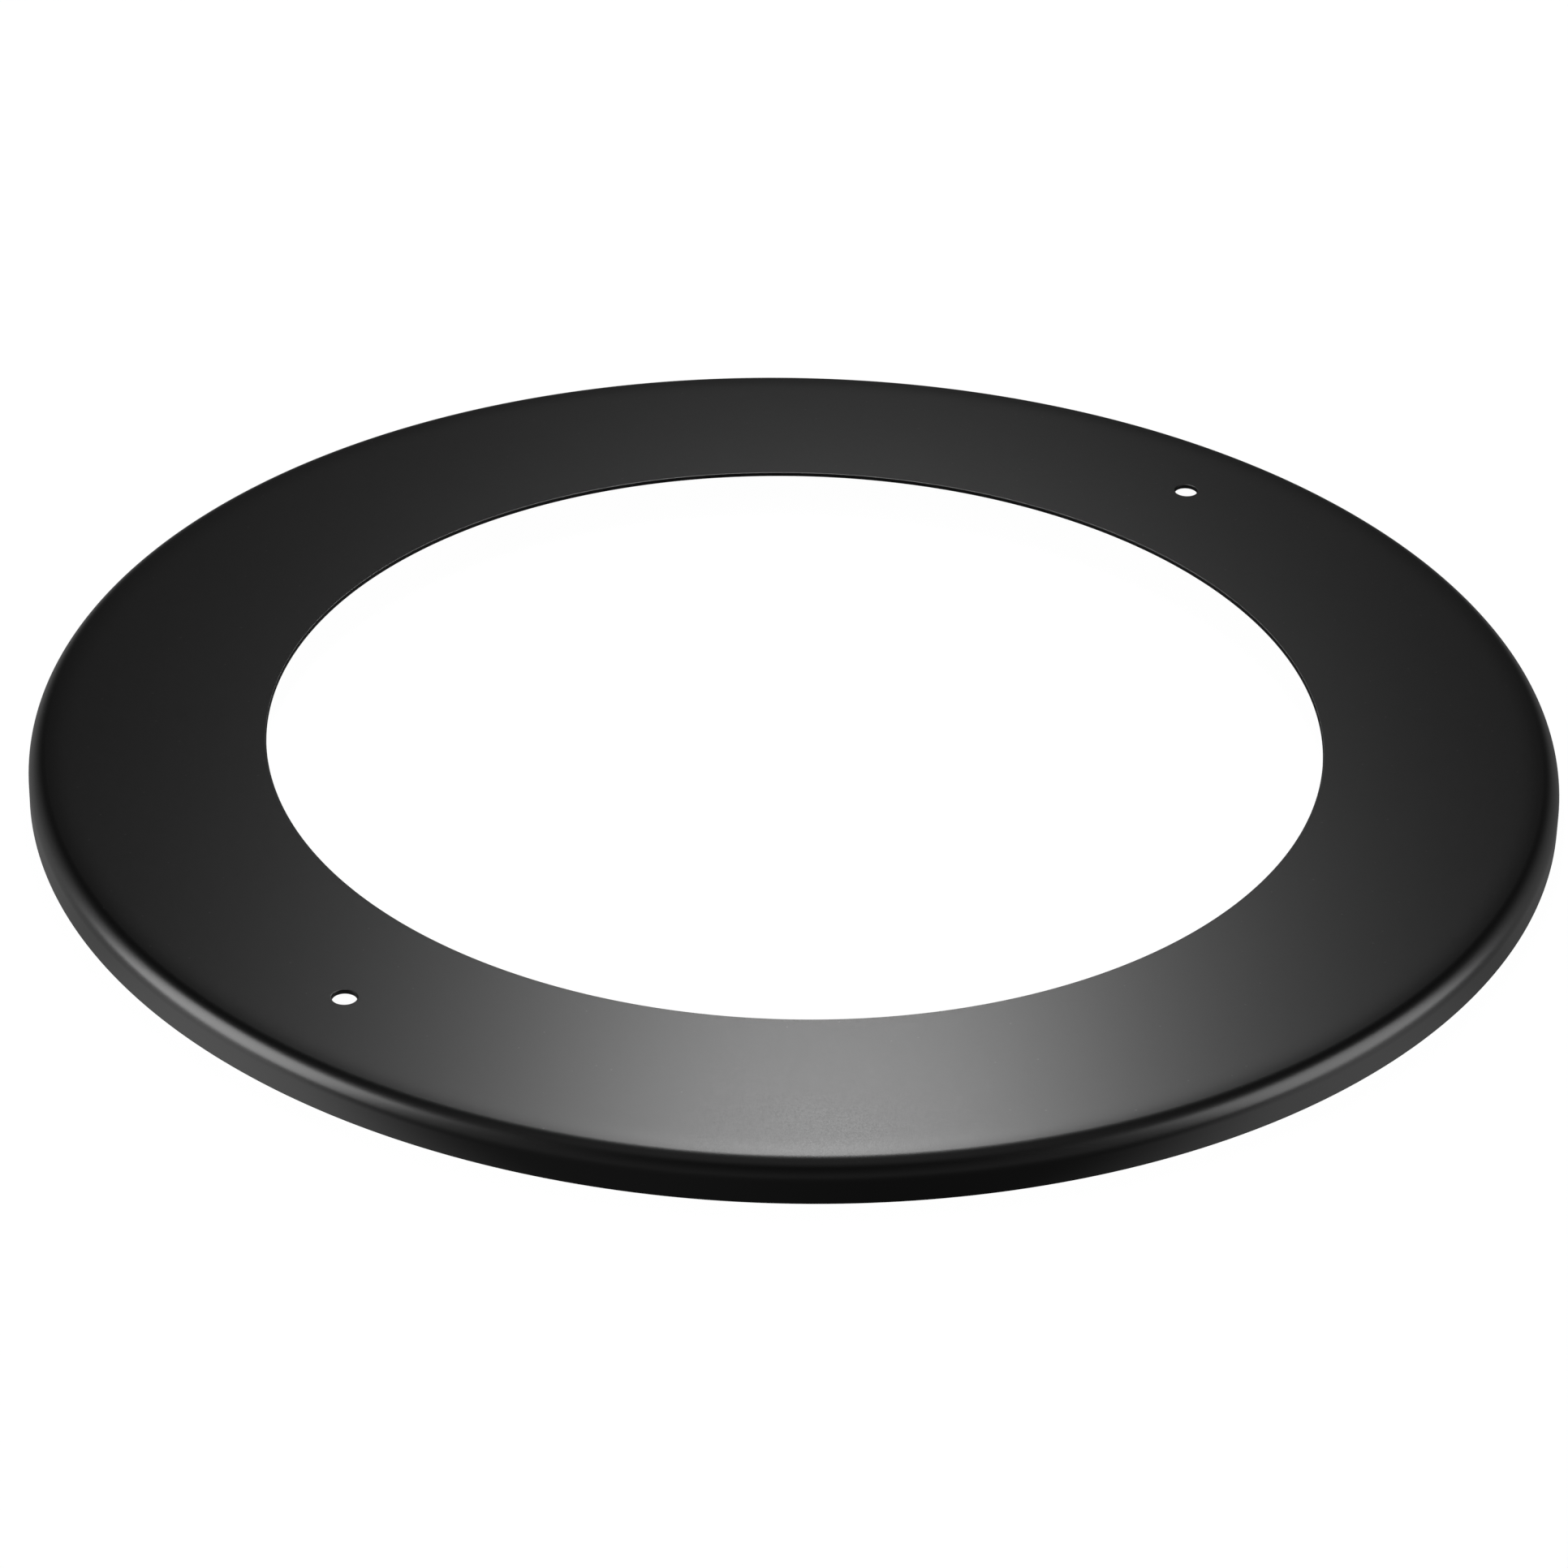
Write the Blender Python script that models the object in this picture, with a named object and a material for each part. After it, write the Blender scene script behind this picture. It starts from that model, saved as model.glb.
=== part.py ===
"""Pipe trim collar: a pressed steel ring with a turned-down rim and two screw holes, and
the foam strip that seals it to the floor or wall round a pipe.

Metres, +Z up. The origin is on the collar's axis, in the plane that the rim stands on,
and the two screw holes lie on the X axis.
"""

import math

import bmesh
import bpy
from mathutils import Matrix, Vector

# Pressed ring
OPENING_RADIUS = 0.0790
FACE_WIDTH = 0.0353  # from the opening's edge to the outside of the skirt
RIM_HEIGHT = 0.00635
SHEET_THICKNESS = 0.00061
BEND_RADIUS = 0.0030  # outside of the bend from the face into the skirt

# Screw holes, evenly spaced on their circle from +X
SCREW_COUNT = 2
SCREW_EDGE_DISTANCE = 0.0163  # from the hole's axis to the outside of the skirt
SCREW_HOLE_RADIUS = 0.00178

# Foam strip, laid round inside the skirt with its two ends butted
SEAL_WIDTH = 0.0050
SEAL_EDGE_RADIUS = 0.0005
SEAL_JOINT_ANGLE = math.radians(90)
SEAL_JOINT_GAP = 0.0006

CLEARANCE = 0.0003  # between two pieces that touch on the real collar

# Facets
RING_STEPS = 144
BEND_STEPS = 6
EDGE_STEPS = 3
HOLE_STEPS = 24
SMOOTH_ANGLE = math.radians(35)

# Worked out from the sizes above
OUTER_RADIUS = OPENING_RADIUS + FACE_WIDTH
SCREW_CIRCLE_RADIUS = OUTER_RADIUS - SCREW_EDGE_DISTANCE
BEND_CENTRE = (OUTER_RADIUS - BEND_RADIUS, RIM_HEIGHT - BEND_RADIUS)
SEAL_OUTER_RADIUS = OUTER_RADIUS - SHEET_THICKNESS - CLEARANCE
SEAL_INNER_RADIUS = SEAL_OUTER_RADIUS - SEAL_WIDTH
SEAL_HEIGHT = RIM_HEIGHT - SHEET_THICKNESS - CLEARANCE

QUARTER_TURN = math.pi / 2


def clear_scene():
    for obj in list(bpy.data.objects):
        bpy.data.objects.remove(obj, do_unlink=True)


def finish_material(name, colour, roughness):
    material = bpy.data.materials.new(name)
    material.use_nodes = True
    shader = material.node_tree.nodes["Principled BSDF"]
    shader.inputs["Base Color"].default_value = (*colour, 1.0)
    shader.inputs["Roughness"].default_value = roughness
    shader.inputs["Metallic"].default_value = 0.0
    return material


def add_object(name, mesh):
    obj = bpy.data.objects.new(name, mesh)
    bpy.context.scene.collection.objects.link(obj)
    return obj


def mesh_from(bm, name):
    mesh = bpy.data.meshes.new(name)
    bm.to_mesh(mesh)
    bm.free()
    return mesh


def arc(centre, radius, start_angle, turn, steps):
    """Points of an arc in the (radius, height) plane, both ends included."""
    angles = [start_angle + turn * step / steps for step in range(steps + 1)]
    return [
        (centre[0] + radius * math.cos(angle), centre[1] + radius * math.sin(angle))
        for angle in angles
    ]


def turned_mesh(name, section, start_angle, sweep_angle):
    """Turns a closed (radius, height) outline round Z. A sweep short of a full circle
    gets flat ends."""
    bm = bmesh.new()
    heading = Matrix.Rotation(start_angle, 3, "Z")
    verts = [bm.verts.new(heading @ Vector((r, 0.0, z))) for r, z in section]
    edges = [bm.edges.new(pair) for pair in zip(verts, verts[1:] + verts[:1])]
    full_circle = math.isclose(sweep_angle, math.tau)
    bmesh.ops.spin(
        bm,
        geom=verts + edges,
        cent=(0.0, 0.0, 0.0),
        axis=(0.0, 0.0, 1.0),
        angle=sweep_angle,
        steps=RING_STEPS,
        use_merge=full_circle,
    )
    if not full_circle:
        bmesh.ops.holes_fill(bm, edges=[e for e in bm.edges if e.is_boundary])
    bmesh.ops.recalc_face_normals(bm, faces=bm.faces)
    mesh = mesh_from(bm, name)
    mesh.shade_smooth()
    mesh.set_sharp_from_angle(angle=SMOOTH_ANGLE)
    return mesh


def ring_section():
    """Outline of the bent sheet: skirt, bend, flat face, and back along the inside."""
    inside_bend_radius = BEND_RADIUS - SHEET_THICKNESS
    return [
        (OUTER_RADIUS - SHEET_THICKNESS, 0.0),
        (OUTER_RADIUS, 0.0),
        *arc(BEND_CENTRE, BEND_RADIUS, 0.0, QUARTER_TURN, BEND_STEPS),
        (OPENING_RADIUS, RIM_HEIGHT),
        (OPENING_RADIUS, RIM_HEIGHT - SHEET_THICKNESS),
        *arc(BEND_CENTRE, inside_bend_radius, QUARTER_TURN, -QUARTER_TURN, BEND_STEPS),
    ]


def seal_section():
    """Outline of the foam strip. Its upper outer corner follows the inside of the bend."""
    corner_radius = BEND_RADIUS - SHEET_THICKNESS - CLEARANCE
    edge_centre = (SEAL_INNER_RADIUS + SEAL_EDGE_RADIUS, SEAL_HEIGHT - SEAL_EDGE_RADIUS)
    return [
        (SEAL_INNER_RADIUS, 0.0),
        (SEAL_OUTER_RADIUS, 0.0),
        *arc(BEND_CENTRE, corner_radius, 0.0, QUARTER_TURN, BEND_STEPS),
        *arc(edge_centre, SEAL_EDGE_RADIUS, QUARTER_TURN, QUARTER_TURN, EDGE_STEPS),
    ]


def add_screw_hole_cutter():
    """One pin through the face for each screw hole."""
    bm = bmesh.new()
    onto_circle = Matrix.Translation((SCREW_CIRCLE_RADIUS, 0.0, RIM_HEIGHT))
    for number in range(SCREW_COUNT):
        bmesh.ops.create_cone(
            bm,
            cap_ends=True,
            segments=HOLE_STEPS,
            radius1=SCREW_HOLE_RADIUS,
            radius2=SCREW_HOLE_RADIUS,
            depth=RIM_HEIGHT,
            matrix=Matrix.Rotation(math.tau * number / SCREW_COUNT, 4, "Z") @ onto_circle,
        )
    cutter = add_object("screw_hole_cutter", mesh_from(bm, "screw_hole_cutter"))
    cutter.hide_render = True
    cutter.display_type = "WIRE"
    return cutter


def add_trim_ring():
    ring = add_object("trim_ring", turned_mesh("trim_ring", ring_section(), 0.0, math.tau))
    ring.data.materials.append(finish_material("satin_black_paint", (0.012, 0.012, 0.012), 0.38))
    holes = ring.modifiers.new("screw_holes", "BOOLEAN")
    holes.operation = "DIFFERENCE"
    holes.solver = "EXACT"
    holes.object = add_screw_hole_cutter()


def add_foam_seal():
    gap_angle = SEAL_JOINT_GAP / ((SEAL_INNER_RADIUS + SEAL_OUTER_RADIUS) / 2)
    first_end = SEAL_JOINT_ANGLE + gap_angle / 2
    strip = turned_mesh("foam_seal", seal_section(), first_end, math.tau - gap_angle)
    seal = add_object("foam_seal", strip)
    seal.data.materials.append(finish_material("black_foam", (0.018, 0.018, 0.019), 0.92))


clear_scene()
add_trim_ring()
add_foam_seal()
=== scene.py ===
"""Finish of the pressed trim collar: the painted ring, the foam strip behind it and the
adhesive that holds the strip, on a pale floor under soft studio light."""

import math

import bmesh
import bpy
from mathutils import Matrix, Vector, noise


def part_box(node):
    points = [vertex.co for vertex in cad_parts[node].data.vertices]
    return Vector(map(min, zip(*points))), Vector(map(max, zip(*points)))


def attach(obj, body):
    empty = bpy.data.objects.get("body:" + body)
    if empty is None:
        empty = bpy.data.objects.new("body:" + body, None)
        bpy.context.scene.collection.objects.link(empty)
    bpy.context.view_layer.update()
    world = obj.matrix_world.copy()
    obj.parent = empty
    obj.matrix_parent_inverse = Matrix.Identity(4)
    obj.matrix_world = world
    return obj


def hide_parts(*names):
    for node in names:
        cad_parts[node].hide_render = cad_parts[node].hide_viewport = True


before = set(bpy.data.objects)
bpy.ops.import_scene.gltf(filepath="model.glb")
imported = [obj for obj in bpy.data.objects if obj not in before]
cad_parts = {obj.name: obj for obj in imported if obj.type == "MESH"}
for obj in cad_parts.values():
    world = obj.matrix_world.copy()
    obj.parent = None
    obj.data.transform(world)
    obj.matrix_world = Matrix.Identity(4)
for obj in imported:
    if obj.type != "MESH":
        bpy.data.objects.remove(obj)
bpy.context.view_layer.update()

MM = 0.001
QUARTER_TURN = math.pi / 2


# ---- Sizes, read from the frame ----

def radii(node, height=None):
    """Distances from the collar's axis of a node's points, or of those at one height."""
    points = [v.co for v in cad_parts[node].data.vertices]
    return sorted(
        math.hypot(p.x, p.y) for p in points if height is None or abs(p.z - height) < 0.01 * MM
    )


FACE_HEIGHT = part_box("trim_ring")[1].z
OUTER_RADIUS = radii("trim_ring")[-1]
OPENING_RADIUS = radii("trim_ring")[0]
FLAT_RADIUS = radii("trim_ring", FACE_HEIGHT)[-1]
BEND_RADIUS = OUTER_RADIUS - FLAT_RADIUS
SHEET = OUTER_RADIUS - radii("trim_ring", 0.0)[0]
CLEAR_OF_EDGE = 1 * MM  # how far inside the face's two edges the screw holes are looked for
HOLE_REACH = [
    r for r in radii("trim_ring", FACE_HEIGHT)
    if OPENING_RADIUS + CLEAR_OF_EDGE < r < FLAT_RADIUS - CLEAR_OF_EDGE
]
HOLE_CIRCLE_RADIUS = (HOLE_REACH[-1] + HOLE_REACH[0]) / 2
HOLE_RADIUS = (HOLE_REACH[-1] - HOLE_REACH[0]) / 2
SEAL_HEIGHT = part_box("foam_seal")[1].z
SEAL_OUTER_RADIUS = radii("foam_seal")[-1]
SEAL_INNER_RADIUS = radii("foam_seal")[0]


# ---- Small details of the pressing and the strip ----

HOLE_COUNT = 2
HOLE_PLACES = [
    Matrix.Rotation(math.tau * number / HOLE_COUNT, 4, "Z")
    @ Matrix.Translation((HOLE_CIRCLE_RADIUS, 0.0, 0.0))
    for number in range(HOLE_COUNT)
]
FACE_EDGE_ROLL = 0.18 * MM  # where the punch drew the sheet down round each cut edge
BACK_EDGE_ROLL = 0.06 * MM
RIM_EDGE_ROLL = 0.12 * MM
HOLE_SPARE = 1.0 * MM  # how far the punch passes through the sheet
CROWN_WIDTH = 5.0 * MM  # the band in which the face curves down before the bend
CROWN_TILT = math.radians(6.0)
CROWN_DROP = CROWN_WIDTH * math.tan(CROWN_TILT) / 4

RING_STEPS = 360
BEND_STEPS = 20
CROWN_STEPS = 8
ROLL_STEPS = 5
HOLE_STEPS = 64
HOLE_TURN = 0.5  # steps that the punch is turned by, off the ring's own radial edges
SHARP_ANGLE = math.radians(40)

STRIP_JOINT_ANGLE = QUARTER_TURN
STRIP_JOINT_GAP = 0.6 * MM
STRIP_STEPS = 720
STRIP_CORNER = 0.7 * MM
STRIP_CORNER_STEPS = 6
STRIP_BEND_CORNER = 2.1 * MM  # the corner that lies in the sheet's bend
STRIP_BEND_STEPS = 10
STRIP_RIPPLE = 0.07 * MM  # the deepest dent in the strip's faces
STRIP_RIPPLE_LENGTH = 9 * MM

FILM_CLEARANCE = 0.015 * MM
FILM_INNER_MARGIN = 0.35 * MM  # from the strip's inner face
FILM_OUTER_MARGIN = 0.3 * MM  # from where the face ends

# What parts one of the ring's finishes from the next
IN_ROLL = 0.5  # share of an edge roll that counts as cut
STEEP = 0.7  # normals that rise less than this belong to a hole's wall
FACING_DOWN = -0.01
FACING_IN = -0.5


# ---- Meshes ----

def arc(centre, radius, start_angle, turn, steps):
    """Points of an arc in the (radius, height) plane, both ends included."""
    angles = [start_angle + turn * step / steps for step in range(steps + 1)]
    return [
        (centre[0] + radius * math.cos(angle), centre[1] + radius * math.sin(angle))
        for angle in angles
    ]


def mesh_from(bm, name):
    bmesh.ops.recalc_face_normals(bm, faces=bm.faces)
    mesh = bpy.data.meshes.new(name)
    bm.to_mesh(mesh)
    bm.free()
    mesh.shade_smooth()
    return mesh


def add_object(name, mesh, *materials):
    obj = bpy.data.objects.new(name, mesh)
    bpy.context.scene.collection.objects.link(obj)
    for material in materials:
        mesh.materials.append(material)
    return obj


def turned_bmesh(section, steps, start_angle=0.0, sweep_angle=math.tau):
    """Turns a closed (radius, height) outline round Z, with flat ends where it isn't a full
    circle."""
    bm = bmesh.new()
    heading = Matrix.Rotation(start_angle, 3, "Z")
    verts = [bm.verts.new(heading @ Vector((r, 0.0, z))) for r, z in section]
    edges = [bm.edges.new(pair) for pair in zip(verts, verts[1:] + verts[:1])]
    full_circle = math.isclose(sweep_angle, math.tau)
    bmesh.ops.spin(
        bm,
        geom=verts + edges,
        cent=(0.0, 0.0, 0.0),
        axis=(0.0, 0.0, 1.0),
        angle=sweep_angle,
        steps=steps,
        use_merge=full_circle,
    )
    if not full_circle:
        bmesh.ops.holes_fill(bm, edges=[e for e in bm.edges if e.is_boundary])
    return bm


def crown_points(depth):
    """Where the face curves gently down towards the bend, inward from the bend. Depth is how
    far below the painted surface: 0 for the face, and the sheet's thickness for its back."""
    bend_end = FLAT_RADIUS + BEND_RADIUS * math.sin(CROWN_TILT)
    points = []
    for step in range(CROWN_STEPS + 1):
        share = 1 - step / CROWN_STEPS
        tilt = math.atan(math.tan(CROWN_TILT) * share ** 3)
        radius = bend_end - CROWN_WIDTH * (1 - share)
        height = FACE_HEIGHT - CROWN_DROP * share ** 4
        points.append((radius - depth * math.sin(tilt), height - depth * math.cos(tilt)))
    return points


def ring_section():
    """Outline of the bent sheet, with the small rolls that punching leaves on its cut edges."""
    bend_centre = (FLAT_RADIUS, FACE_HEIGHT - CROWN_DROP - BEND_RADIUS * math.cos(CROWN_TILT))
    bend_turn = QUARTER_TURN - CROWN_TILT
    inner_wall = OUTER_RADIUS - SHEET
    back = FACE_HEIGHT - SHEET
    return [
        *arc((inner_wall + BACK_EDGE_ROLL, BACK_EDGE_ROLL), BACK_EDGE_ROLL,
             2 * QUARTER_TURN, QUARTER_TURN, ROLL_STEPS),
        *arc((OUTER_RADIUS - RIM_EDGE_ROLL, RIM_EDGE_ROLL), RIM_EDGE_ROLL,
             -QUARTER_TURN, QUARTER_TURN, ROLL_STEPS),
        *arc(bend_centre, BEND_RADIUS, 0.0, bend_turn, BEND_STEPS),
        *crown_points(0.0)[1:],
        *arc((OPENING_RADIUS + FACE_EDGE_ROLL, FACE_HEIGHT - FACE_EDGE_ROLL), FACE_EDGE_ROLL,
             QUARTER_TURN, QUARTER_TURN, ROLL_STEPS),
        *arc((OPENING_RADIUS + BACK_EDGE_ROLL, back + BACK_EDGE_ROLL), BACK_EDGE_ROLL,
             2 * QUARTER_TURN, QUARTER_TURN, ROLL_STEPS),
        *crown_points(SHEET)[:0:-1],
        *arc(bend_centre, BEND_RADIUS - SHEET, bend_turn, -bend_turn, BEND_STEPS),
    ]


def hole_punch():
    """A punch for each screw hole, flared at the face by the roll that it leaves."""
    flare = HOLE_RADIUS + FACE_EDGE_ROLL
    section = [
        (HOLE_RADIUS, FACE_HEIGHT - SHEET - HOLE_SPARE),
        *arc((flare, FACE_HEIGHT - FACE_EDGE_ROLL), FACE_EDGE_ROLL,
             2 * QUARTER_TURN, -QUARTER_TURN, ROLL_STEPS),
        (flare, FACE_HEIGHT + HOLE_SPARE),
    ]
    bm = bmesh.new()
    for place in HOLE_PLACES:
        rows = []
        for step in range(HOLE_STEPS):
            turn = place @ Matrix.Rotation(math.tau * (step + HOLE_TURN) / HOLE_STEPS, 4, "Z")
            rows.append([bm.verts.new(turn @ Vector((r, 0.0, z))) for r, z in section])
        for row, following in zip(rows, rows[1:] + rows[:1]):
            for a in range(len(row) - 1):
                bm.faces.new((row[a], following[a], following[a + 1], row[a + 1]))
        bm.faces.new([row[0] for row in reversed(rows)])
        bm.faces.new([row[-1] for row in rows])
    return mesh_from(bm, "hole_punch")


def flat_shaded_where_flat(obj):
    """Keeps the flat faces flat beside the small rolls."""
    obj.data.set_sharp_from_angle(angle=SHARP_ANGLE)
    normals = obj.modifiers.new("flat_faces", "WEIGHTED_NORMAL")
    normals.mode = "FACE_AREA"
    normals.keep_sharp = True


def punched(mesh, punch_mesh):
    """The mesh with the punch cut out of it."""
    blank = add_object("blank", mesh)
    punch = add_object("punch", punch_mesh)
    cut = blank.modifiers.new("punch", "BOOLEAN")
    cut.operation = "DIFFERENCE"
    cut.solver = "EXACT"
    cut.object = punch
    evaluated = blank.evaluated_get(bpy.context.evaluated_depsgraph_get())
    result = bpy.data.meshes.new_from_object(evaluated)
    for spent in (blank, punch):
        bpy.data.objects.remove(spent, do_unlink=True)
    return result


FACE_FINISH, BACK_FINISH, CUT_FINISH = 0, 1, 2


def finish_index(face):
    """Which of the ring's finishes a face takes: painted front, thin coat behind, or cut edge."""
    middle = face.center
    radius = math.hypot(middle.x, middle.y)
    outward = Vector((middle.x, middle.y, 0.0)).normalized().dot(face.normal)
    in_opening = radius < OPENING_RADIUS + IN_ROLL * FACE_EDGE_ROLL
    under_rim = middle.z < IN_ROLL * RIM_EDGE_ROLL
    to_hole = min((middle.xy - place.translation.xy).length for place in HOLE_PLACES)
    in_hole = to_hole < HOLE_RADIUS + IN_ROLL * FACE_EDGE_ROLL and abs(face.normal.z) < STEEP
    if in_opening or under_rim or in_hole:
        return CUT_FINISH
    inside_skirt = outward < FACING_IN and middle.z < FACE_HEIGHT - SHEET
    return BACK_FINISH if face.normal.z < FACING_DOWN or inside_skirt else FACE_FINISH


def add_pressed_ring(paint, thin_coat, cut_edge):
    sheet = mesh_from(turned_bmesh(ring_section(), RING_STEPS), "pressed_ring")
    mesh = punched(sheet, hole_punch())
    mesh.name = "pressed_ring"
    mesh.materials.clear()
    ring = add_object("pressed_ring", mesh, paint, thin_coat, cut_edge)
    for face in mesh.polygons:
        face.material_index = finish_index(face)
    flat_shaded_where_flat(ring)
    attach(ring, "root")
    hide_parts("trim_ring")


def round_the_seal(section, steps):
    """Turns a section round the collar, from one end of the strip to the other."""
    gap_angle = STRIP_JOINT_GAP / ((SEAL_INNER_RADIUS + SEAL_OUTER_RADIUS) / 2)
    return turned_bmesh(section, steps, STRIP_JOINT_ANGLE + gap_angle / 2, math.tau - gap_angle)


def add_foam_strip(foam):
    """The strip, its faces dented a little all the way round, as cut foam's are."""
    corner, steps = STRIP_CORNER, STRIP_CORNER_STEPS
    inner, outer, high = SEAL_INNER_RADIUS, SEAL_OUTER_RADIUS, SEAL_HEIGHT
    section = [
        *arc((inner + corner, corner), corner, 2 * QUARTER_TURN, QUARTER_TURN, steps),
        *arc((outer - corner, corner), corner, -QUARTER_TURN, QUARTER_TURN, steps),
        *arc((outer - STRIP_BEND_CORNER, high - STRIP_BEND_CORNER), STRIP_BEND_CORNER,
             0.0, QUARTER_TURN, STRIP_BEND_STEPS),
        *arc((inner + corner, high - corner), corner, QUARTER_TURN, QUARTER_TURN, steps),
    ]
    bm = round_the_seal(section, STRIP_STEPS)
    middle = Vector(((inner + outer) / 2, high / 2))
    for vert in bm.verts:
        radius = math.hypot(vert.co.x, vert.co.y)
        inward = Vector((middle.x - radius, middle.y - vert.co.z)).normalized()
        dent = STRIP_RIPPLE * (0.5 + 0.5 * noise.noise(vert.co / STRIP_RIPPLE_LENGTH))
        radius += inward.x * dent
        height = vert.co.z + inward.y * dent
        around = Vector((vert.co.x, vert.co.y, 0.0)).normalized()
        vert.co = around * radius + Vector((0.0, 0.0, height))
    strip = add_object("foam_strip", mesh_from(bm, "foam_strip"), foam)
    strip.data.set_sharp_from_angle(angle=SHARP_ANGLE)
    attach(strip, "root")
    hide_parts("foam_seal")


def add_adhesive_film(adhesive):
    """The film between the strip's flat top and the back of the face."""
    top = FACE_HEIGHT - CROWN_DROP - SHEET - FILM_CLEARANCE
    low = SEAL_HEIGHT + FILM_CLEARANCE
    inner = SEAL_INNER_RADIUS + FILM_INNER_MARGIN
    outer = FLAT_RADIUS - FILM_OUTER_MARGIN
    section = [(inner, low), (outer, low), (outer, top), (inner, top)]
    mesh = mesh_from(round_the_seal(section, RING_STEPS), "adhesive_film")
    film = add_object("adhesive_film", mesh, adhesive)
    film.data.set_sharp_from_angle(angle=SHARP_ANGLE)
    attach(film, "root")


# ---- Node helpers ----

def add_node(tree, kind, **settings):
    node = tree.nodes.new(kind)
    for name, value in settings.items():
        setattr(node, name, value)
    return node


def set_inputs(node, **values):
    for name, value in values.items():
        node.inputs[name.replace("_", " ")].default_value = value


def math_node(tree, operation, first, second=None, clamp=False):
    node = add_node(tree, "ShaderNodeMath", operation=operation, use_clamp=clamp)
    for socket, value in zip(node.inputs, (first, second)):
        if isinstance(value, bpy.types.NodeSocket):
            tree.links.new(value, socket)
        elif value is not None:
            socket.default_value = value
    return node.outputs["Value"]


def noise_node(tree, position, size, detail, roughness=0.5):
    """Noise in grains of a size in metres, which comes from a socket."""
    node = add_node(tree, "ShaderNodeTexNoise")
    tree.links.new(position, node.inputs["Vector"])
    tree.links.new(math_node(tree, "DIVIDE", 1.0, size), node.inputs["Scale"])
    set_inputs(node, Detail=detail, Roughness=roughness)
    return node.outputs["Fac"]


def map_range(tree, value, low, high, to_low, to_high, smooth=False):
    kind = "SMOOTHSTEP" if smooth else "LINEAR"
    node = add_node(tree, "ShaderNodeMapRange", interpolation_type=kind)
    tree.links.new(value, node.inputs["Value"])
    set_inputs(node, From_Min=low, From_Max=high, To_Min=to_low, To_Max=to_high)
    return node.outputs["Result"]


def distance_from_axis(tree, position):
    flat = add_node(tree, "ShaderNodeVectorMath", operation="MULTIPLY")
    tree.links.new(position, flat.inputs[0])
    flat.inputs[1].default_value = (1.0, 1.0, 0.0)
    length = add_node(tree, "ShaderNodeVectorMath", operation="LENGTH")
    tree.links.new(flat.outputs["Vector"], length.inputs[0])
    return length.outputs["Value"]


def new_group(name, inputs, outputs):
    """An empty node group. Inputs and outputs are (name, kind, default) and (name, kind)."""
    tree = bpy.data.node_groups.new(name, "ShaderNodeTree")
    for label, kind, default in inputs:
        socket = tree.interface.new_socket(label, in_out="INPUT", socket_type=kind)
        if default is not None:
            socket.default_value = default
    for label, kind in outputs:
        tree.interface.new_socket(label, in_out="OUTPUT", socket_type=kind)
    return tree, tree.nodes.new("NodeGroupInput"), tree.nodes.new("NodeGroupOutput")


FLOAT = "NodeSocketFloat"
VECTOR = "NodeSocketVector"


def build_coat_texture():
    """The skin of a sprayed and baked coat: soft orange peel, fine powder grain, and a slow
    drift in tone. Height is in metres."""
    tree, given, made = new_group(
        "coat_texture",
        [
            ("Position", VECTOR, None),
            ("Peel Size", FLOAT, 1.6 * MM), ("Peel Height", FLOAT, 0.004 * MM),
            ("Grain Size", FLOAT, 0.25 * MM), ("Grain Height", FLOAT, 0.001 * MM),
            ("Drift Size", FLOAT, 40 * MM),
        ],
        [("Height", FLOAT), ("Drift", FLOAT), ("Grain", FLOAT)],
    )
    position = given.outputs["Position"]
    peel = noise_node(tree, position, given.outputs["Peel Size"], 1.0)
    grain = noise_node(tree, position, given.outputs["Grain Size"], 2.0)
    drift = noise_node(tree, position, given.outputs["Drift Size"], 3.0)
    height = math_node(
        tree, "ADD",
        math_node(tree, "MULTIPLY", peel, given.outputs["Peel Height"]),
        math_node(tree, "MULTIPLY", grain, given.outputs["Grain Height"]),
    )
    tree.links.new(height, made.inputs["Height"])
    tree.links.new(map_range(tree, drift, 0.3, 0.7, 0.0, 1.0), made.inputs["Drift"])
    tree.links.new(map_range(tree, grain, 0.35, 0.65, 0.0, 1.0), made.inputs["Grain"])
    return tree


def build_edge_wear():
    """A mask that is 1 on a round edge of given radius and height and fades out with
    distance, broken up as handling breaks up a coat."""
    tree, given, made = new_group(
        "edge_wear",
        [
            ("Position", VECTOR, None),
            ("Edge Radius", FLOAT, OPENING_RADIUS), ("Edge Height", FLOAT, FACE_HEIGHT),
            ("Reach", FLOAT, 0.4 * MM), ("Patch Size", FLOAT, 3 * MM),
        ],
        [("Mask", FLOAT)],
    )
    parts = add_node(tree, "ShaderNodeSeparateXYZ")
    tree.links.new(given.outputs["Position"], parts.inputs["Vector"])
    radius = distance_from_axis(tree, given.outputs["Position"])
    sideways = math_node(tree, "SUBTRACT", radius, given.outputs["Edge Radius"])
    upward = math_node(tree, "SUBTRACT", parts.outputs["Z"], given.outputs["Edge Height"])
    distance = math_node(
        tree, "SQRT",
        math_node(tree, "ADD", math_node(tree, "MULTIPLY", sideways, sideways),
                  math_node(tree, "MULTIPLY", upward, upward)),
    )
    patches = noise_node(tree, given.outputs["Position"], given.outputs["Patch Size"], 4.0, 0.6)
    near = math_node(
        tree, "SUBTRACT", 1.0, math_node(tree, "DIVIDE", distance, given.outputs["Reach"]), clamp=True
    )
    mask = math_node(tree, "MULTIPLY", near, map_range(tree, patches, 0.4, 0.62, 0.15, 1.0))
    tree.links.new(mask, made.inputs["Mask"])
    return tree


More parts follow.
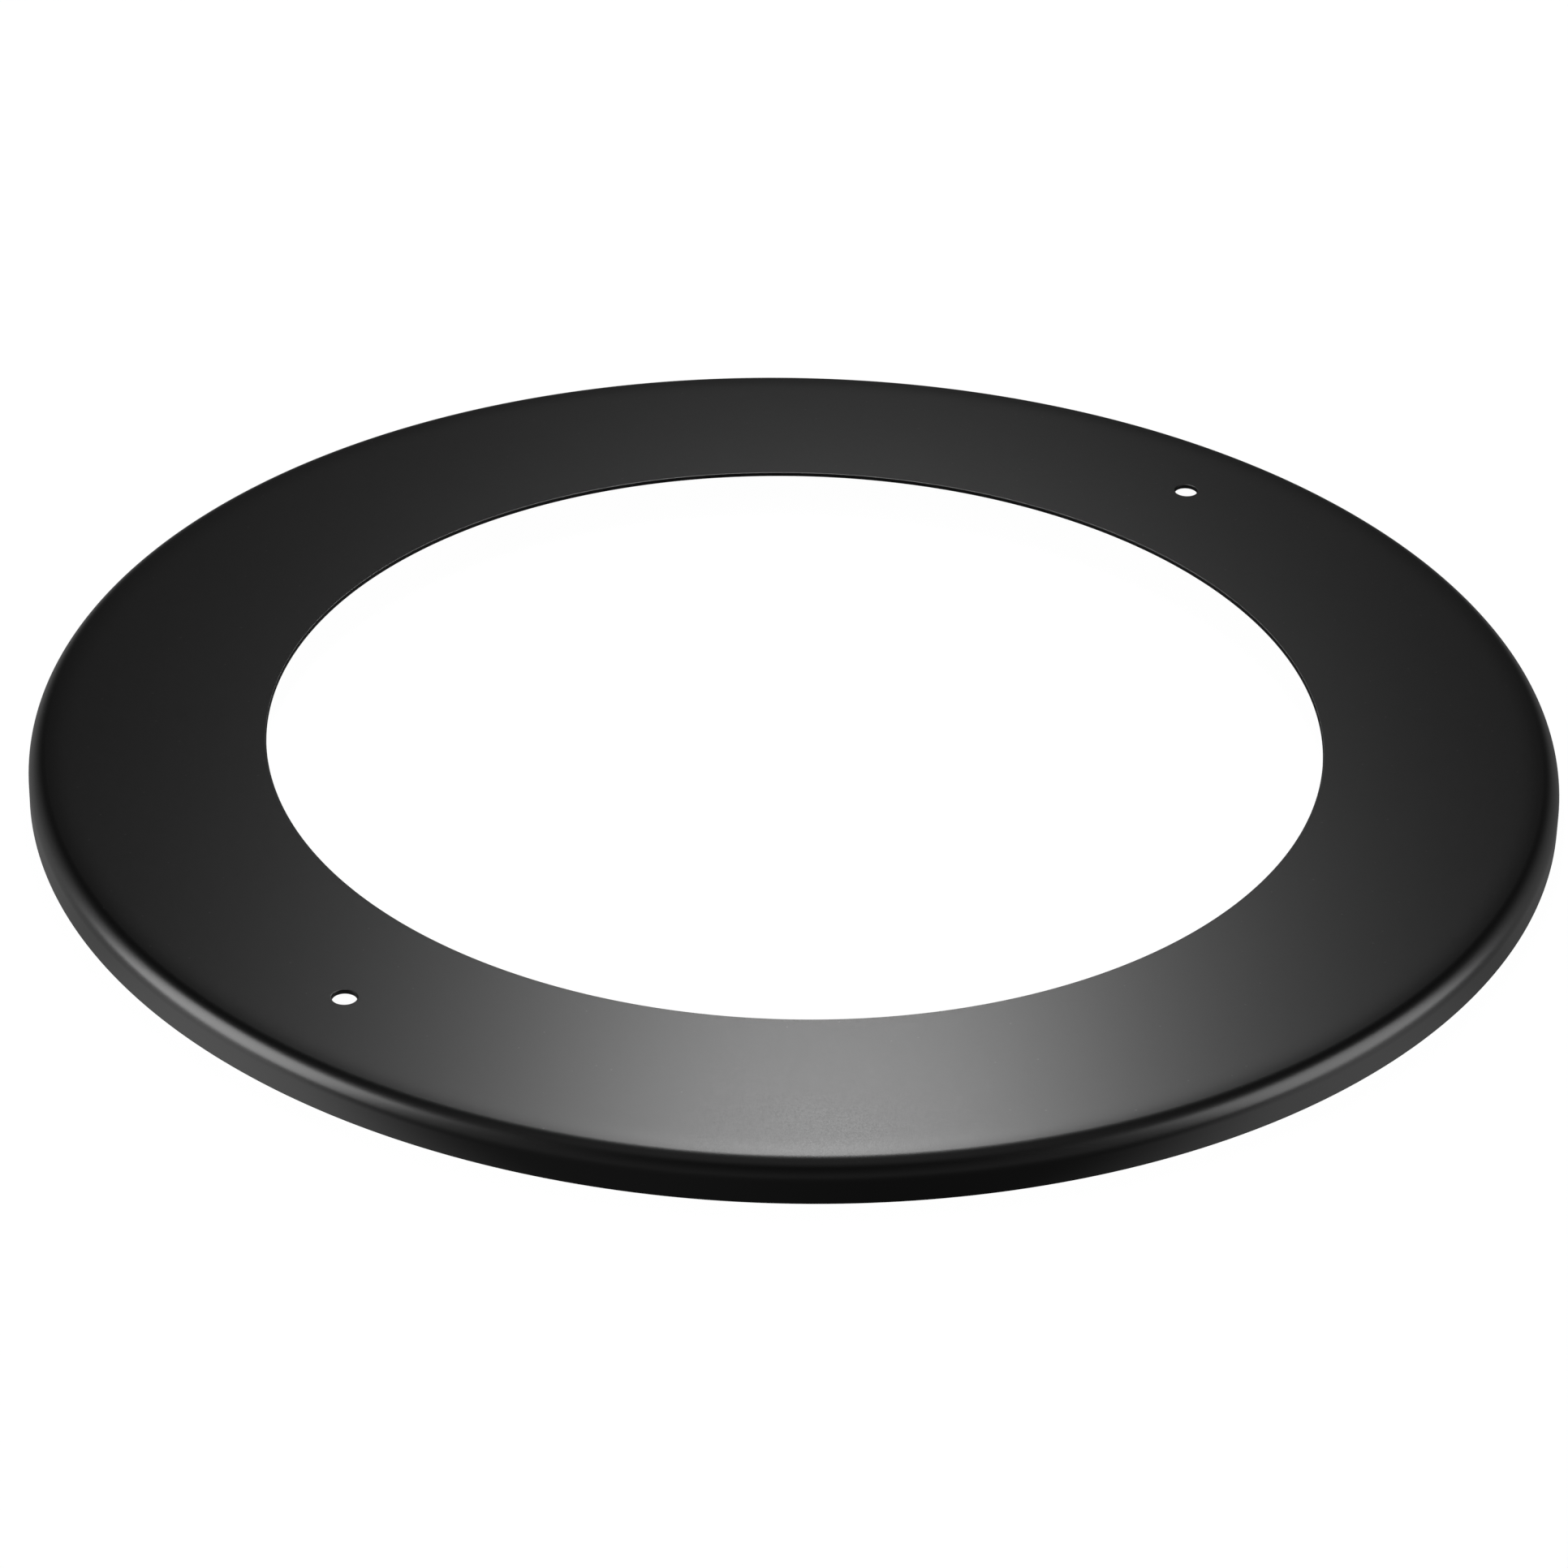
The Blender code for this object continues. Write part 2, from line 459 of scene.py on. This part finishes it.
def build_dust():
    """Sparse specks that settle on faces that look up."""
    tree, given, made = new_group(
        "dust",
        [
            ("Position", VECTOR, None), ("Normal", VECTOR, None),
            ("Speck Spacing", FLOAT, 3 * MM), ("Speck Size", FLOAT, 0.05),
        ],
        [("Mask", FLOAT)],
    )
    cells = add_node(tree, "ShaderNodeTexVoronoi")
    tree.links.new(given.outputs["Position"], cells.inputs["Vector"])
    per_metre = math_node(tree, "DIVIDE", 1.0, given.outputs["Speck Spacing"])
    tree.links.new(per_metre, cells.inputs["Scale"])
    speck = math_node(tree, "LESS_THAN", cells.outputs["Distance"], given.outputs["Speck Size"])
    parts = add_node(tree, "ShaderNodeSeparateXYZ")
    tree.links.new(given.outputs["Normal"], parts.inputs["Vector"])
    facing_up = map_range(tree, parts.outputs["Z"], 0.3, 0.9, 0.0, 1.0)
    tree.links.new(math_node(tree, "MULTIPLY", speck, facing_up), made.inputs["Mask"])
    return tree


COAT_TEXTURE = build_coat_texture()
EDGE_WEAR = build_edge_wear()
DUST = build_dust()


def use_group(tree, group, position, **values):
    node = add_node(tree, "ShaderNodeGroup", node_tree=group)
    tree.links.new(position, node.inputs["Position"])
    set_inputs(node, **values)
    return node


def new_material(name):
    material = bpy.data.materials.new(name)
    material.use_nodes = True
    tree = material.node_tree
    shader = tree.nodes["Principled BSDF"]
    position = add_node(tree, "ShaderNodeTexCoord").outputs["Object"]
    return material, tree, shader, position


def colour_between(tree, factor, first, second):
    """A colour that runs from first to second as factor goes from 0 to 1."""
    node = add_node(tree, "ShaderNodeMix", data_type="RGBA")
    tree.links.new(factor, node.inputs["Factor"])
    colour_inputs = [s for s in node.inputs if s.type == "RGBA"]
    for socket, value in zip(colour_inputs, (first, second)):
        if isinstance(value, bpy.types.NodeSocket):
            tree.links.new(value, socket)
        else:
            socket.default_value = (*value, 1.0)
    return next(s for s in node.outputs if s.type == "RGBA")


def bump(tree, shader, height):
    """Raises the surface by a height in metres."""
    node = add_node(tree, "ShaderNodeBump")
    set_inputs(node, Strength=1.0, Distance=1.0)
    tree.links.new(height, node.inputs["Height"])
    tree.links.new(node.outputs["Normal"], shader.inputs["Normal"])


# ---- Finishes ----

PAINT_DARK, PAINT_LIGHT = (0.0008, 0.0008, 0.0008), (0.0016, 0.0016, 0.0016)
WORN_PAINT = (0.016, 0.016, 0.016)
DUST_COLOUR = (0.10, 0.10, 0.095)
DUST_SHARE = 0.25
BURNISH_START = 0.8 * MM  # outward from where the face ends
BURNISH_FULL = 2.0 * MM
BURNISH_IOR = 1.8
BURNISH_ROUGHNESS = 0.33
DULL_SPECULAR = 0.25

FOAM_CELL = 0.45 * MM
FOAM_CELL_BLUR = 0.4
FOAM_PIT_DEPTH = 0.05 * MM
FOAM_SPECULAR = 0.3


def satin_black_paint():
    """Baked satin black: near-black, faint peel, a trace paler where the coat pulls off the
    cut edge, a few specks of dust, and a bend and skirt burnished by handling."""
    material, tree, shader, position = new_material("satin_black_paint")
    coat = use_group(tree, COAT_TEXTURE, position)
    wear = use_group(tree, EDGE_WEAR, position, Edge_Radius=OPENING_RADIUS, Edge_Height=FACE_HEIGHT)
    dust = use_group(tree, DUST, position)
    facing = add_node(tree, "ShaderNodeNewGeometry")
    tree.links.new(facing.outputs["Normal"], dust.inputs["Normal"])
    paint = colour_between(tree, coat.outputs["Drift"], PAINT_DARK, PAINT_LIGHT)
    worn = colour_between(tree, wear.outputs["Mask"], paint, WORN_PAINT)
    dusting = math_node(tree, "MULTIPLY", dust.outputs["Mask"], DUST_SHARE)
    dusty = colour_between(tree, dusting, worn, DUST_COLOUR)
    tree.links.new(dusty, shader.inputs["Base Color"])
    roughness = map_range(tree, coat.outputs["Grain"], 0.0, 1.0, 0.31, 0.345)
    tree.links.new(roughness, shader.inputs["Roughness"])
    burnished = map_range(
        tree, distance_from_axis(tree, position),
        FLAT_RADIUS + BURNISH_START, FLAT_RADIUS + BURNISH_FULL, 0.0, 1.0, smooth=True,
    )
    tree.links.new(burnished, shader.inputs["Coat Weight"])
    set_inputs(shader, Coat_IOR=BURNISH_IOR, Coat_Roughness=BURNISH_ROUGHNESS)
    bump(tree, shader, coat.outputs["Height"])
    return material


def thin_black_coat():
    """The back of the sheet, where the spray only drifted: duller and patchier."""
    material, tree, shader, position = new_material("thin_black_coat")
    coat = use_group(
        tree, COAT_TEXTURE, position, Peel_Size=0.9 * MM, Peel_Height=0.006 * MM,
        Grain_Size=0.18 * MM, Grain_Height=0.004 * MM, Drift_Size=18 * MM,
    )
    paint = colour_between(tree, coat.outputs["Drift"], (0.005, 0.005, 0.005), (0.014, 0.014, 0.0135))
    tree.links.new(paint, shader.inputs["Base Color"])
    roughness = map_range(tree, coat.outputs["Grain"], 0.0, 1.0, 0.5, 0.66)
    tree.links.new(roughness, shader.inputs["Roughness"])
    set_inputs(shader, Specular_IOR_Level=DULL_SPECULAR)
    bump(tree, shader, coat.outputs["Height"])
    return material


def cut_sheet_edge():
    """The cut edges of the sheet, painted thin over the sheared steel."""
    material, tree, shader, position = new_material("cut_sheet_edge")
    coat = use_group(
        tree, COAT_TEXTURE, position, Peel_Size=0.35 * MM, Peel_Height=0.006 * MM,
        Grain_Size=0.12 * MM, Grain_Height=0.003 * MM, Drift_Size=5 * MM,
    )
    paint = colour_between(tree, coat.outputs["Drift"], (0.004, 0.004, 0.004), (0.012, 0.012, 0.012))
    tree.links.new(paint, shader.inputs["Base Color"])
    roughness = map_range(tree, coat.outputs["Grain"], 0.0, 1.0, 0.4, 0.55)
    tree.links.new(roughness, shader.inputs["Roughness"])
    set_inputs(shader, Specular_IOR_Level=DULL_SPECULAR)
    bump(tree, shader, coat.outputs["Height"])
    return material


def closed_cell_foam():
    """Black closed-cell foam: a matt skin of small cells, with painted shade in the cells' pits."""
    material, tree, shader, position = new_material("closed_cell_foam")
    cells = add_node(tree, "ShaderNodeTexVoronoi", feature="SMOOTH_F1")
    tree.links.new(position, cells.inputs["Vector"])
    set_inputs(cells, Scale=1 / FOAM_CELL, Smoothness=FOAM_CELL_BLUR)
    coat = use_group(
        tree, COAT_TEXTURE, position, Peel_Size=1.2 * MM, Peel_Height=0.03 * MM,
        Grain_Size=0.15 * MM, Grain_Height=0.01 * MM, Drift_Size=12 * MM,
    )
    # the cells are pitted, and the foam's colour darkens towards each pit's bottom: painted shade in
    # the pits
    pit_depth_and_shade = map_range(tree, cells.outputs["Distance"], 0.0, 0.7, 0.0, 1.0, smooth=True)
    foam = colour_between(tree, pit_depth_and_shade, (0.006, 0.006, 0.0065), (0.022, 0.022, 0.023))
    tree.links.new(foam, shader.inputs["Base Color"])
    roughness = map_range(tree, coat.outputs["Drift"], 0.0, 1.0, 0.84, 0.95)
    tree.links.new(roughness, shader.inputs["Roughness"])
    set_inputs(shader, Specular_IOR_Level=FOAM_SPECULAR)
    pitted = math_node(tree, "MULTIPLY", pit_depth_and_shade, FOAM_PIT_DEPTH)
    bump(tree, shader, math_node(tree, "ADD", coat.outputs["Height"], pitted))
    return material


def clear_adhesive():
    """Acrylic adhesive film, pale amber with small trapped bubbles."""
    material, tree, shader, position = new_material("clear_adhesive")
    coat = use_group(
        tree, COAT_TEXTURE, position, Peel_Size=2.2 * MM, Peel_Height=0.02 * MM,
        Grain_Size=0.5 * MM, Grain_Height=0.01 * MM, Drift_Size=10 * MM,
    )
    film = colour_between(tree, coat.outputs["Drift"], (0.30, 0.27, 0.20), (0.42, 0.39, 0.31))
    tree.links.new(film, shader.inputs["Base Color"])
    roughness = map_range(tree, coat.outputs["Grain"], 0.0, 1.0, 0.2, 0.4)
    tree.links.new(roughness, shader.inputs["Roughness"])
    bump(tree, shader, coat.outputs["Height"])
    return material


# ---- Studio ----

VIEW_AZIMUTH = math.radians(-50.8)
VIEW_ELEVATION = math.radians(31.0)
VIEW_DISTANCE = 8.0 * OUTER_RADIUS
VIEW_PAN = math.radians(0.092)
VIEW_TILT = math.radians(-0.548)
VIEW_ROLL = math.radians(-1.22)
LENS_MM = 140.05
SENSOR_MM = 36.0

# How bright the room looks in reflections: its walls darken upwards from the horizon, and the
# middle of its ceiling glows. Heights are the Z of the direction looked in.
ROOM_GLOW = 0.11
WALL_TOP = 0.8
CEILING_GLOW = 0.14
CEILING_EDGE = 0.85

# Painted light and a painted shadow on the floor, seen only in reflections: its glow stands in for
# lamp light beside the collar and for the skirt's shadow in front of it. Distances are behind the
# collar's axis.
LEFT_PAINTED_FLOOR_LIGHT = 0.42
RIGHT_PAINTED_FLOOR_LIGHT = 0.30
SIDE_BLEND = 0.02  # either side of the axis, where the left glow turns into the right one
PAINTED_SHADOW_FULL = -0.112
PAINTED_SHADOW_END = -0.092
PAINTED_SHADOW_SHARE = 0.1
FADE_START = -0.088
FADE_END = -0.05
FADED_SHARE = 0.4

FLOOR_HALF_WIDTH = 12.0
FLOOR_DROP = 0.1 * MM
FLOOR_WHITE = 0.85
FLOOR_LIT = 1.05
FLOOR_LIT_SHARE = 0.94

# Soft panels: place (right, back, up), width, height and glow
BACK_PANEL = ((0.008, 0.289, 0.393), 0.08, 0.263, 14.0)
LEFT_PANEL = ((-0.72, -0.14, 0.33), 0.55, 0.64, 2.25)
RIGHT_PANEL = ((0.72, -0.14, 0.33), 0.55, 0.64, 1.4)
CLIP_NEAR = 0.01
CLIP_FAR = 50.0


def studio_point(right, back, up):
    """A place given as the camera sees it: to its right, behind the collar, and up."""
    return Matrix.Rotation(VIEW_AZIMUTH, 3, "Z") @ Vector((right, back, up))


def add_camera():
    data = bpy.data.cameras.new("camera")
    data.lens = LENS_MM
    data.sensor_width = SENSOR_MM
    data.clip_start = CLIP_NEAR
    data.clip_end = CLIP_FAR
    camera = bpy.data.objects.new("camera", data)
    bpy.context.scene.collection.objects.link(camera)
    target = Vector((0.0, 0.0, FACE_HEIGHT))
    away = studio_point(0.0, -math.cos(VIEW_ELEVATION), math.sin(VIEW_ELEVATION))
    look = away.to_track_quat("Z", "Y").to_matrix().to_4x4()
    turn = (
        Matrix.Rotation(VIEW_PAN, 4, "Y")
        @ Matrix.Rotation(VIEW_TILT, 4, "X")
        @ Matrix.Rotation(-VIEW_ROLL, 4, "Z")
    )
    camera.matrix_world = Matrix.Translation(target + away * VIEW_DISTANCE) @ look @ turn
    bpy.context.scene.camera = camera


def add_panel(name, panel, target):
    """A soft panel that faces a target. Glow is how bright its face is."""
    spot, width, height, glow = panel
    place = studio_point(*spot)
    away = (place - target).normalized()
    sideways = Vector((0.0, 0.0, 1.0)).cross(away).normalized()
    data = bpy.data.lights.new(name, "AREA")
    data.shape = "RECTANGLE"
    data.size = width
    data.size_y = height
    data.energy = glow * math.pi * width * height
    lamp = bpy.data.objects.new(name, data)
    bpy.context.scene.collection.objects.link(lamp)
    turn = Matrix((sideways, away.cross(sideways), away)).transposed()
    lamp.matrix_world = Matrix.Translation(place) @ turn.to_4x4()
    lamp.visible_camera = False


def along(tree, position, direction):
    """How far a position lies in a direction."""
    node = add_node(tree, "ShaderNodeVectorMath", operation="DOT_PRODUCT")
    tree.links.new(position, node.inputs[0])
    node.inputs[1].default_value = direction
    return node.outputs["Value"]


def mix_shaders(tree, factor, first, second):
    node = add_node(tree, "ShaderNodeMixShader")
    if isinstance(factor, bpy.types.NodeSocket):
        tree.links.new(factor, node.inputs["Fac"])
    else:
        node.inputs["Fac"].default_value = factor
    tree.links.new(first, node.inputs[1])
    tree.links.new(second, node.inputs[2])
    return node.outputs["Shader"]


def grey_shader(tree, kind, grey, **settings):
    node = add_node(tree, kind)
    set_inputs(node, Color=(grey, grey, grey, 1.0), **settings)
    return node.outputs[0]


def painted_floor_light_and_shadow(tree):
    """How bright the floor is in the skirt's reflections: painted light from both sides, most of all
    beside the collar, and a painted shadow in front of it."""
    position = add_node(tree, "ShaderNodeTexCoord").outputs["Object"]
    right = along(tree, position, studio_point(1.0, 0.0, 0.0))
    back = along(tree, position, studio_point(0.0, 1.0, 0.0))
    side = map_range(
        tree, right, -SIDE_BLEND, SIDE_BLEND, LEFT_PAINTED_FLOOR_LIGHT, RIGHT_PAINTED_FLOOR_LIGHT, smooth=True
    )
    # painted shadow: the floor's glow drops in front of the collar, where the skirt's shadow would
    # fall
    painted_front_shadow = map_range(tree, back, PAINTED_SHADOW_FULL, PAINTED_SHADOW_END, PAINTED_SHADOW_SHARE, 1.0, smooth=True)
    # painted light: brightest just beside the collar, fading further back
    painted_light_falloff = map_range(tree, back, FADE_START, FADE_END, 1.0, FADED_SHARE, smooth=True)
    return math_node(tree, "MULTIPLY", side, math_node(tree, "MULTIPLY", painted_front_shadow, painted_light_falloff))


def add_floor():
    """A pale floor, lit to white. In the collar's reflections it is darker than it looks, with
    painted light beside the collar and a painted shadow in front of it.
    """
    material = bpy.data.materials.new("pale_floor")
    material.use_nodes = True
    tree = material.node_tree
    tree.nodes.remove(tree.nodes["Principled BSDF"])
    seen = mix_shaders(
        tree, FLOOR_LIT_SHARE,
        grey_shader(tree, "ShaderNodeBsdfDiffuse", FLOOR_WHITE),
        grey_shader(tree, "ShaderNodeEmission", 1.0, Strength=FLOOR_LIT),
    )
    # the floor as reflections see it: a glow that carries painted light and a painted shadow
    floor_painted_light = grey_shader(tree, "ShaderNodeEmission", 1.0)
    tree.links.new(painted_floor_light_and_shadow(tree), floor_painted_light.node.inputs["Strength"])
    path = add_node(tree, "ShaderNodeLightPath")
    surface = mix_shaders(tree, path.outputs["Is Camera Ray"], floor_painted_light, seen)
    tree.links.new(surface, tree.nodes["Material Output"].inputs["Surface"])
    bm = bmesh.new()
    bmesh.ops.create_grid(bm, x_segments=1, y_segments=1, size=FLOOR_HALF_WIDTH)
    mesh = bpy.data.meshes.new("floor")
    bm.to_mesh(mesh)
    bm.free()
    floor = add_object("floor", mesh, material)
    floor.location.z = -FLOOR_DROP


def add_world():
    """White where the eye looks past the floor, and a dim room in reflections."""
    world = bpy.data.worlds.new("studio")
    bpy.context.scene.world = world
    world.use_nodes = True
    tree = world.node_tree
    upward = along(tree, add_node(tree, "ShaderNodeTexCoord").outputs["Generated"], (0.0, 0.0, 1.0))
    room = grey_shader(tree, "ShaderNodeBackground", 1.0)
    walls = map_range(tree, upward, 0.0, WALL_TOP, ROOM_GLOW, 0.0)
    ceiling = map_range(tree, upward, CEILING_EDGE, 1.0, 0.0, CEILING_GLOW, smooth=True)
    tree.links.new(math_node(tree, "ADD", walls, ceiling), room.node.inputs["Strength"])
    white = grey_shader(tree, "ShaderNodeBackground", 1.0, Strength=1.0)
    path = add_node(tree, "ShaderNodeLightPath")
    surface = mix_shaders(tree, path.outputs["Is Camera Ray"], room, white)
    tree.links.new(surface, tree.nodes["World Output"].inputs["Surface"])


def add_studio():
    """A small tall panel behind, whose glare falls on the near side of the face, and a wide
    upright panel on each side for the bend."""
    add_floor()
    add_world()
    add_panel("back_panel", BACK_PANEL, Vector((0.0, 0.0, FACE_HEIGHT)))
    for name, panel in (("left_panel", LEFT_PANEL), ("right_panel", RIGHT_PANEL)):
        add_panel(name, panel, Vector((0.0, 0.0, panel[0][2])))
    bpy.context.scene.view_settings.view_transform = "Standard"
    add_camera()


add_studio()
add_pressed_ring(satin_black_paint(), thin_black_coat(), cut_sheet_edge())
add_foam_strip(closed_cell_foam())
add_adhesive_film(clear_adhesive())
